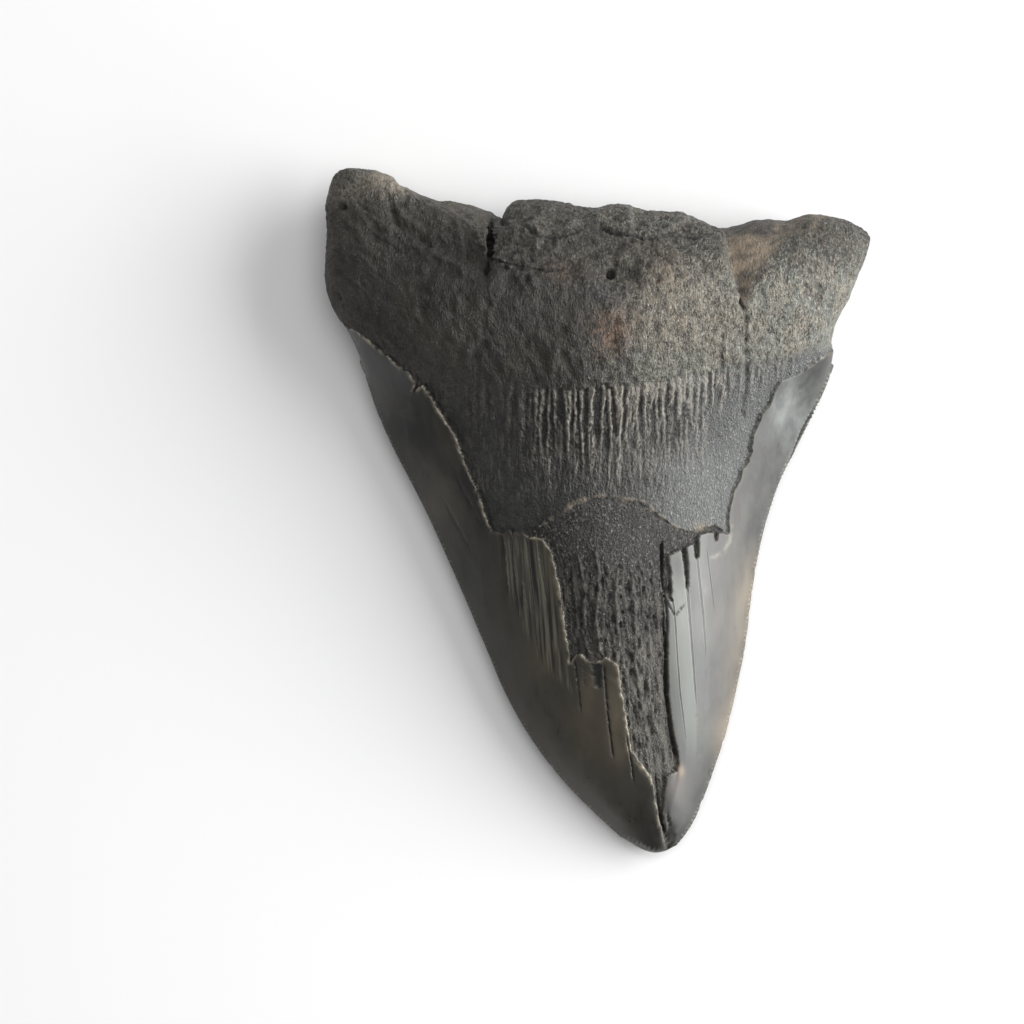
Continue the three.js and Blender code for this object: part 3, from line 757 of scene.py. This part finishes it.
masks = {
    "neck_band": band,
    # painted shade in cracks, pits and the hollow beside the foramen
    "crack_shade": np.clip(crack_and_pit_shade, 0, 1),
    "rib": rib * (0.3 + 0.7 * smooth(-16, -3, x)),
    # painted shade between the ribs, weaker on the distal side, and over the band's middle
    "trough_shade": trough_shade * (1 - 0.6 * smooth(12, 19, x)) + 0.4 * band * spot(1.0, 3, 6, 4),
    "stroked": band * (0.45 + 0.55 * smooth(-13, -8, x)) * smooth(-26, -20, x)
    * smooth(17, 11, x) * smooth(0.5, 4, y),
    "ridge": np.clip(bare_ridges + raised * on_bare * 3, 0, 1),
    "low_dentine": smooth(-18, -28, y) * on_bare,
    "broken_edge_highlight": np.clip(broken_edge_highlight, 0, 1),
    "warm": stain([(0.8, 12, 40.5, 5, 4), (0.8, 11, 33, 6, 5), (0.5, 20, 33, 7, 6)]),
    "rust": stain([(1, 2.6, 30.8, 3.4, 3.6), (0.4, -6, 41, 3, 1.5)]),
    # Painted shade: bluish dark patches below the foramen
    "shade_below_foramen": stain([(1, 0.4, 37.4, 3.8, 1.5), (0.6, 5.5, 27, 1.6, 3)]),
    "hollow": hollow,
    "hollow_light": np.clip(hollow_light, 0, 1),
    "worn_corner": stain(
        [(0.25, -43.0, 55.5, 4, 3), (0.9, -37.8, 57.4, 2.2, 1.4), (0.85, -34.5, 55.9, 2.6, 1.3)],
        0.15 * behind,
    ),
    # More pale grain towards the distal side, on the slab and on the mesial lobe's top: partly the
    # root's own grain, partly painted light where the light falls
    "grain_and_painted_light": stain(
        [(0.28, -22.5, 48.8, 5, 2.6), (0.2, 13, 31, 5, 5), (-0.45, -15, 31, 10, 8)],
        smooth(-11, 17, x) * (0.45 + 0.55 * smooth(48, 37, y)),
        0.36 * slab * smooth(24, 4, x),
        0.22 * ledge * smooth(6, -6, x),
        0.45 * mesial_lobe * smooth(50, 56, y),
        low=-0.5,
    ),
    # Painted sheen: the band paler towards the distal side, where the light falls, and less so in its
    # troughs
    "band_sheen": smooth(4, 17, x) * band * (1 - trough_shade * smooth(18, 11, x)),
    # painted highlight along the arch's rim
    "arch_rim_and_highlight": arch_rim_and_highlight,
    # Painted sheen: the distal flank, which faces the light, gets paler blots
    "flank_sheen": smooth(11, 19, x) * enamel,
    "tan_margin": enamel * stain(
        [
            (0.25, 23.5, -12, 4, 12), (0.3, -27, 4, 3.5, 12), (0.7, -1.6, -31, 1.3, 3.5),
            (0.5, 3.6, -41.5, 1.2, 2.6), (0.4, -9, -24, 3, 6), (0.45, -1, -38, 5, 8),
            (0.5, 2.8, -34, 1.6, 6), (0.4, -8, -9, 2.2, 8),
        ],
        edge_margin * smooth(-2, -12, y) * smooth(-46, -36, y),
    ),
    "olive": smooth(-26, -12, x) * smooth(2, -8, y) * smooth(11, 4, x) * enamel,
    "streaked": inside(xy, STREAKED),
    "pink_tip": spot(13.8, -47.2, 1.8, 2.8) * enamel,
    "orange_chip": spot(14.6, -45.0, 0.6, 1.0) * LINGUAL,
    "strip_count": strip_count,
    "strip_crack": strip_crack * enamel,
    "strip_facet_light": strip_facet_light * enamel * LINGUAL * smooth(11, 12, x),
    "serration": serration,
    # Painted highlight: a pale cloudy patch on the worn distal wing
    "wing_highlight": stain([(1, 32.6, 18.6, 2.6, 5), (0.35, 36, 16, 5, 9)]) * enamel,
    "chip": chip * enamel,
}


# ---- materials
CROWN_LEAN = 5  # the crown's grain leans towards the distal side on its way down, in degrees


def linear(hex_code):
    """An sRGB hex colour as the linear values that the shader takes."""
    parts = [int(hex_code[n : n + 2], 16) / 255 for n in (1, 3, 5)]
    return (*(c / 12.92 if c <= 0.04045 else ((c + 0.055) / 1.055) ** 2.4 for c in parts), 1.0)


def add(tree, kind, inputs, out=0, **settings):
    """Adds a node and gives one of its outputs.

    An input is a value, a hex colour or another node's output.
    """
    made = tree.nodes.new("ShaderNode" + kind)
    for name, value in settings.items():
        setattr(made, name, value)
    for key, value in inputs.items():
        if isinstance(value, bpy.types.NodeSocket):
            tree.links.new(value, made.inputs[key])
        else:
            made.inputs[key].default_value = linear(value) if isinstance(value, str) else value
    return made.outputs[out] if made.outputs else None


def start(name, mask_names, noises, lean=0):
    """A new material, its node tree, and its masks and noises by name, as fields.

    A noise is the size of its swells in mm, its detail and its roughness. It is drawn out along
    the tooth, or along a line that leans by some degrees.
    """
    material = bpy.data.materials.new(name)
    material.use_nodes = True
    tree = material.node_tree
    tree.nodes.clear()
    fields = {mask: add(tree, "Attribute", {}, "Fac", attribute_name=mask) for mask in mask_names}
    place = add(tree, "TexCoord", {}, "Object")
    leaning = {"Vector": place, "Angle": math.radians(-lean)}
    place = add(tree, "VectorRotate", leaning, rotation_type="Z_AXIS")
    for title, (size, detail, roughness) in noises.items():
        scale = tuple(1 / (MM * s) for s in size)
        scaled = add(tree, "VectorMath", {0: place, 1: scale}, operation="MULTIPLY")
        levels = {"Vector": scaled, "Scale": 1.0, "Detail": detail, "Roughness": roughness}
        fields[title] = add(tree, "TexNoise", {**levels, "Distortion": 0.25})
    return material, tree, fields


def spread_softly(tree, fields, patterns):
    """Makes patterns: a field spread from one range to another, and kept to a second field."""
    for title, (field, low, high, to_low, to_high, *kept_to) in patterns.items():
        levels = {0: fields[field], 1: low, 2: high, 3: to_low, 4: to_high}
        made = add(tree, "MapRange", levels, interpolation_type="SMOOTHSTEP")
        for other in kept_to:
            made = add(tree, "Math", {0: made, 1: fields[other]}, operation="MULTIPLY")
        fields[title] = made


def thin_curls(tree, fields, title, field):
    """Notes where a noise passes its middle value, which draws thin curling crumb edges."""
    off = add(tree, "Math", {0: fields[field], 1: 0.5}, operation="SUBTRACT")
    fields[title] = add(tree, "Math", {0: off}, operation="ABSOLUTE")


def finish(tree, fields, base, coats, roughness, height, bump, ior):
    """Lays the coats over the base colour, and joins up the shader.

    A coat is the field that says where it lies, its strength, and its colour. The base, and
    some coats, are a field and the two colours that it blends.
    """
    mixed = {"data_type": "RGBA"}
    colour = add(tree, "Mix", {0: fields[base[0]], 6: base[1], 7: base[2]}, 2, **mixed)
    for where, strength, over in coats:
        share = fields[where]
        if strength != 1:
            share = add(tree, "Math", {0: share, 1: strength}, operation="MULTIPLY")
        if isinstance(over, tuple):
            over = add(tree, "Mix", {0: fields[over[0]], 6: over[1], 7: over[2]}, 2, **mixed)
        colour = add(tree, "Mix", {0: share, 6: colour, 7: over}, 2, **mixed)
    field, low, high, to_low, to_high = roughness
    levels = {0: fields[field], 1: low, 2: high, 3: to_low, 4: to_high}
    normal = add(tree, "Bump", {"Height": height, "Distance": bump * MM, "Strength": 1.0})
    inputs = {"Base Color": colour, "Roughness": add(tree, "MapRange", levels)}
    surface = add(tree, "BsdfPrincipled", {**inputs, "Normal": normal, "IOR": ior})
    add(tree, "OutputMaterial", {"Surface": surface})


# Fossil root: mineralised bone-like tissue, weathered by water. Matt and granular, with light
# grains drawn out towards the crown, and smooth where layers have spalled off.
root_material, tree, fields = start(
    "fossil_root_weathered",
    (
        "grain_and_painted_light", "warm", "rust", "shade_below_foramen", "hollow", "hollow_light", "worn_corner", "neck_band",
        "band_sheen", "stroked", "trough_shade", "rib", "arch_rim_and_highlight", "crack_shade",
    ),
    {
        # The tissue's own grains are about 0.15 mm, too fine to show, so the first two are coarser
        "grains": ((0.38, 0.8, 0.5), 3, 0.68),
        "fine": ((0.35, 0.45, 0.4), 2, 0.6),
        "crumbs": ((0.9, 1.5, 1.0), 3, 0.6),
        "pebble": ((1.4, 1.9, 1.5), 4, 0.62),
        "mottle": ((7, 9, 7), 3, 0.55),
        "patch": ((2.4, 3.4, 3), 3, 0.6),
        "strata": ((3, 1.1, 2), 4, 0.6),
        "strokes": ((0.45, 3.4, 1.0), 2, 0.6),
    },
)
lit = {0: fields["grain_and_painted_light"], 1: 0.32, 2: fields["grains"]}
lit = add(tree, "Math", lit, operation="MULTIPLY_ADD")
lit = add(tree, "Math", {0: fields["patch"], 1: 0.3, 2: lit}, operation="MULTIPLY_ADD")
fields["lit"] = add(tree, "Math", {0: lit, 1: 0.15}, operation="SUBTRACT")
spalled = {0: fields["strata"], 1: 0.7, 2: fields["hollow_light"]}
fields["spalled"] = add(tree, "Math", spalled, operation="MULTIPLY_ADD")
thin_curls(tree, fields, "off_edge", "crumbs")
crumb_share = add(tree, "MapRange", {0: fields["grain_and_painted_light"], 3: 0.03, 4: 0.6})
spread_softly(tree, fields, {
    "light_grain": ("lit", 0.57, 0.93, 0, 1),
    "crumb_edge": ("off_edge", 0, 0.028, 1, 0),
    "band_glint": ("fine", 0.56, 0.7, 0, 1, "band_sheen"),
    "sparkle": ("fine", 0.62, 0.7, 0, 0.7, "light_grain"),
    "mottled": ("mottle", 0.35, 0.65, 0, 1),
    "shade": ("pebble", 0.38, 0.5, 0.7, 0),
    "pebbled": ("pebble", 0.35, 0.65, 0, 1),
    "patchy": ("patch", 0.38, 0.62, 0, 1),
    "layered": ("spalled", 0.4, 1.15, 0, 1),
    "warm": ("patch", 0.42, 0.62, 0, 0.65, "warm"),
    "rust": ("grains", 0.36, 0.6, 0.05, 0.75, "rust"),
    "worn": ("grains", 0.3, 0.6, 0.3, 0.9, "worn_corner"),
    "rib": ("grains", 0.3, 0.6, 0.3, 0.8, "rib"),
    "pale_stroke": ("strokes", 0.54, 0.64, 0, 0.7, "stroked"),
    "dark_stroke": ("strokes", 0.37, 0.46, 0.7, 0, "stroked"),
})
crumbs = {0: crumb_share, 1: fields["crumb_edge"]}
fields["crumbs"] = add(tree, "Math", crumbs, operation="MULTIPLY")
grit = add(tree, "Mix", {0: fields["neck_band"], 2: fields["grains"], 3: fields["fine"]})
finish(
    tree, fields, ("mottled", "#221e19", "#322d25"),
    [
        # pale grain, partly painted light on the distal side and the lobe's top
        ("light_grain", 1, ("patchy", "#7d786c", "#656962")),
        ("warm", 1, "#83705b"),
        ("rust", 1, "#80604c"),
        # painted shade below the foramen
        ("shade_below_foramen", 0.7, "#2b2d31"),
        ("shade", 1, "#2b2926"),
        ("crumbs", 1, "#a19c8f"),
        ("sparkle", 1, "#b4b0a4"),
        ("hollow", 1, ("layered", "#39352f", "#7a6d5c")),
        ("worn", 1, "#938a7b"),
        ("neck_band", 0.8, ("pebbled", "#161616", "#353534")),
        # painted sheen and painted glints on the band's distal side
        ("band_sheen", 0.75, "#626463"),
        ("band_glint", 0.7, "#93938e"),
        ("pale_stroke", 1, "#716e66"),
        ("dark_stroke", 1, "#141312"),
        # painted shade in the band's troughs
        ("trough_shade", 0.85, "#191715"),
        ("rib", 1, "#8d887e"),
        # painted highlight on the arch's rim
        ("arch_rim_and_highlight", 1, "#7d7465"),
        # painted shade in cracks and pits
        ("crack_shade", 0.9, "#110f0e"),
    ],
    roughness=("fine", 0.3, 0.7, 0.75, 0.45),
    height=add(tree, "Math", {0: fields["pebble"], 1: 1.5, 2: grit}, operation="MULTIPLY_ADD"),
    bump=0.45,
    ior=1.55,
)

# Fossil enamel (enameloid): dense, fine-grained mineral that kept its polish. A satin gloss
# over dark grey, mottled olive and tan by the sediment, with faint lines along the crown.
enamel_material, tree, fields = start(
    "fossil_enamel_polished",
    (
        "tan_margin", "flank_sheen", "olive", "streaked", "pink_tip", "wing_highlight", "orange_chip", "strip_count",
        "strip_crack", "strip_facet_light", "serration", "broken_edge_highlight", "chip", "crack_shade",
    ),
    {
        "clouds": ((7, 13, 8), 3, 0.5),
        "blooms": ((4, 7, 5), 2, 0.5),
        # Growth lines are under 0.1 mm wide, too fine to show, so these two are coarser
        "fibres": ((1.3, 24, 4), 2, 0.5),
        "streaks": ((0.6, 26, 4), 2, 0.6),
        "blots": ((2.4, 5, 3), 4, 0.6),
        "waver": ((0.5, 1.1, 1), 2, 0.6),
    },
    CROWN_LEAN,
)
# The strips' cracks lie at whole strip counts: each is a thin line of painted shade, with a painted
# highlight on the lip beside it
count = {0: fields["waver"], 1: 0.06, 2: fields["strip_count"]}
count = add(tree, "Math", count, operation="MULTIPLY_ADD")
count = add(tree, "Math", {0: count, 1: 0.03}, operation="SUBTRACT")
off_crack = add(tree, "Math", {0: count, 1: 0.5}, operation="PINGPONG")
widened = {0: fields["strip_crack"], 1: -0.1, 2: off_crack}
fields["off_crack"] = add(tree, "Math", widened, operation="MULTIPLY_ADD")
fields["cracked"] = add(tree, "MapRange", {0: fields["strip_crack"], 1: 0.02, 2: 0.2})
spread_softly(tree, fields, {
    "cloudy": ("clouds", 0.35, 0.65, 0, 1),
    "bloom": ("blooms", 0.5, 0.68, 0, 0.6),
    "fibre": ("fibres", 0.55, 0.75, 0, 0.25),
    "streaked": ("streaked", -0.6, 1.5, 0, 1),
    "light_streak": ("streaks", 0.52, 0.64, 0, 0.7, "streaked"),
    "dark_streak": ("streaks", 0.40, 0.47, 0.8, 0, "streaked"),
    "blot": ("blots", 0.34, 0.68, 0, 1),
    "dark_blot": ("blots", 0.28, 0.48, 0.3, 0),
    "pale": ("blots", 0.34, 0.68, 0, 1, "flank_sheen"),
    "crack_lip_highlight": ("off_crack", 0.015, 0.09, 0.5, 0, "strip_crack"),
    "thin_crack_shade": ("off_crack", -0.02, 0.02, 1, 0, "cracked"),
})
tan = add(tree, "Math", {0: fields["cloudy"], 1: 0.6, 2: 0.4}, operation="MULTIPLY_ADD")
fields["tan"] = add(tree, "Math", {0: fields["tan_margin"], 1: tan}, operation="MULTIPLY")
# The wing's painted highlight, clouded by the blots
wing_highlight = add(tree, "Math", {0: fields["blot"], 1: 0.35, 2: 0.4}, operation="MULTIPLY_ADD")
fields["wing_highlight"] = add(tree, "Math", {0: wing_highlight, 1: fields["wing_highlight"]}, operation="MULTIPLY")
finish(
    tree, fields, ("cloudy", "#151616", "#1f1d19"),
    [
        ("olive", 1, "#3a3730"),
        ("bloom", 1, "#312f29"),
        ("dark_blot", 1, "#151514"),
        # painted sheen on the distal flank
        ("pale", 0.5, "#474943"),
        # painted light on the strips' facets
        ("strip_facet_light", 0.7, "#666a64"),
        ("fibre", 1, "#3a3934"),
        ("tan", 1, "#6b6151"),
        ("streaked", 0.4, "#4a473f"),
        ("light_streak", 1, "#6e6a5e"),
        ("dark_streak", 1, "#121110"),
        ("pink_tip", 0.5, "#68605a"),
        # painted highlight on the worn wing
        ("wing_highlight", 1, "#858987"),
        ("chip", 0.85, "#171b1b"),
        ("orange_chip", 1, "#7c6d5d"),
        # painted highlight along the broken edges
        ("broken_edge_highlight", 1, "#a39b89"),
        ("serration", 1, "#b9b2a4"),
        # painted highlight on the cracks' lips, and painted shade in the cracks
        ("crack_lip_highlight", 1, "#8f908a"),
        ("thin_crack_shade", 1, "#0f0e0d"),
        # painted shade in cracks and pits
        ("crack_shade", 0.95, "#0f0e0d"),
    ],
    roughness=("blots", 0.3, 0.7, 0.27, 0.4),
    height=add(tree, "Math", {0: fields["fibres"], 1: fields["thin_crack_shade"]}, operation="SUBTRACT"),
    bump=0.02,
    ior=1.53,
)

# Bare dentine: the broken inner face of the crown. Dark, gritty and fibrous, with glints.
dentine_material, tree, fields = start(
    "fossil_dentine_broken",
    ("ridge", "low_dentine", "orange_chip", "arch_rim_and_highlight", "crack_shade"),
    {
        "grit": ((0.38, 0.5, 0.42), 3, 0.65),  # coarser than its real 0.1 mm, so that it shows
        "crumbs": ((0.9, 1.3, 0.9), 3, 0.6),
        "strands": ((0.9, 9, 2), 3, 0.55),
    },
    CROWN_LEAN,
)
thin_curls(tree, fields, "off_edge", "crumbs")
spread_softly(tree, fields, {
    "strand": ("strands", 0.4, 0.65, 0, 1),
    "glint": ("grit", 0.58, 0.68, 0, 0.85),
    "crumb_edge": ("off_edge", 0, 0.03, 0.5, 0),
    "low": ("strands", 0.35, 0.65, 0.25, 0.85, "low_dentine"),
})
finish(
    tree, fields, ("strand", "#131212", "#262422"),
    [
        ("low", 1, "#4f4c46"),
        ("crumb_edge", 1, "#66635c"),
        ("glint", 1, "#7c7a74"),
        ("ridge", 0.35, "#6f6a60"),
        ("orange_chip", 1, "#7d6a57"),
        # painted highlight on the arch's rim
        ("arch_rim_and_highlight", 1, "#7d7465"),
        # painted shade in cracks and pits
        ("crack_shade", 0.9, "#0d0c0b"),
    ],
    roughness=("grit", 0.35, 0.65, 0.7, 0.4),
    height=fields["grit"],
    bump=0.5,
    ior=1.55,
)

# ---- the piece
mesh = bpy.data.meshes.new("megalodon_tooth")
mesh.from_pydata((points * MM + MIDDLE).tolist(), [], tris.tolist())
mesh.update()
for name, values in masks.items():
    made = mesh.attributes.new(name, "FLOAT", "POINT")
    made.data.foreach_set("value", values.astype(np.float32))
for material in (root_material, enamel_material, dentine_material):
    mesh.materials.append(material)
lingual_face = LINGUAL[tris].mean(axis=1) > 0.5
from_root = np.where(lingual_face, from_neck[tris].mean(axis=1), from_labial_root[tris].mean(axis=1))
bared = lingual_face & (from_bare[tris].mean(axis=1) > 0)
slots = np.where(bared, 2, np.where(from_root > 0, 0, 1))
mesh.polygons.foreach_set("material_index", slots.astype(np.int32))
mesh.polygons.foreach_set("use_smooth", np.ones(len(tris), bool))
mesh.update()
tooth = bpy.data.objects.new("megalodon_tooth", mesh)
bpy.context.scene.collection.objects.link(tooth)
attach(tooth, "root")
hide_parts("tooth")

# ---- floor, light and camera
SIZE = 1000 * MM  # a metre beside the tooth as drawn
floor_mesh = bpy.data.meshes.new("floor")
half = 3 * SIZE
corners = [(-half, -half), (half, -half), (half, half), (-half, half)]
floor_mesh.from_pydata([(*corner, float(LOW[2])) for corner in corners], [], [(0, 1, 2, 3)])
floor = bpy.data.objects.new("floor", floor_mesh)
bpy.context.scene.collection.objects.link(floor)
# Matt white paper: even and without gloss
paper, tree, _ = start("paper_white_matt", (), {})
paper_face = add(tree, "BsdfPrincipled", {"Base Color": "#f2f2f2", "Roughness": 0.9})
add(tree, "OutputMaterial", {"Surface": paper_face})
floor_mesh.materials.append(paper)


def softbox(name, place, aim, width, height, power):
    """A large soft rectangular light at a place, turned to a point, both in mm."""
    data = bpy.data.lights.new(name, "AREA")
    data.shape = "RECTANGLE"
    data.size = width * MM
    data.size_y = height * MM
    data.energy = power * (SIZE**2)
    light = bpy.data.objects.new(name, data)
    light.location = MIDDLE + np.array(place) * MM
    towards = Vector(np.array(aim, float) - np.array(place, float))
    light.rotation_euler = towards.to_track_quat("-Z", "Y").to_euler()
    bpy.context.scene.collection.objects.link(light)


# From the distal side, low beside it, and weakly from above
softbox("key", (870, 240, 490), (10, 0, 10), 1100, 600, 13.3)
softbox("low_side", (1000, -150, 235), (20, 0, 10), 1400, 420, 11)
softbox("fill", (60, 220, 1150), (0, 0, 10), 900, 900, 5.5)
world = bpy.data.worlds.new("studio")
world.use_nodes = True
world.node_tree.nodes["Background"].inputs["Color"].default_value = linear("#ffffff")
world.node_tree.nodes["Background"].inputs["Strength"].default_value = 0.22
bpy.context.scene.world = world
bpy.context.scene.view_settings.view_transform = "Standard"

# The camera looks straight down, with the crown's tip at the bottom of the frame
VIEW_WIDTH = 177.0  # what it sees at the tooth's mid height, in mm
CAMERA_PLACE = (-14.7, -0.1, 1500)
MID_HEIGHT = 12
SENSOR = 36
camera_data = bpy.data.cameras.new("camera")
camera_data.sensor_width = SENSOR
camera_data.lens = SENSOR * (CAMERA_PLACE[2] - MID_HEIGHT) / VIEW_WIDTH
camera_data.clip_start = 0.01 * SIZE
camera_data.clip_end = 20 * SIZE
camera = bpy.data.objects.new("camera", camera_data)
camera.location = MIDDLE + np.array(CAMERA_PLACE) * MM
bpy.context.scene.collection.objects.link(camera)
bpy.context.scene.camera = camera
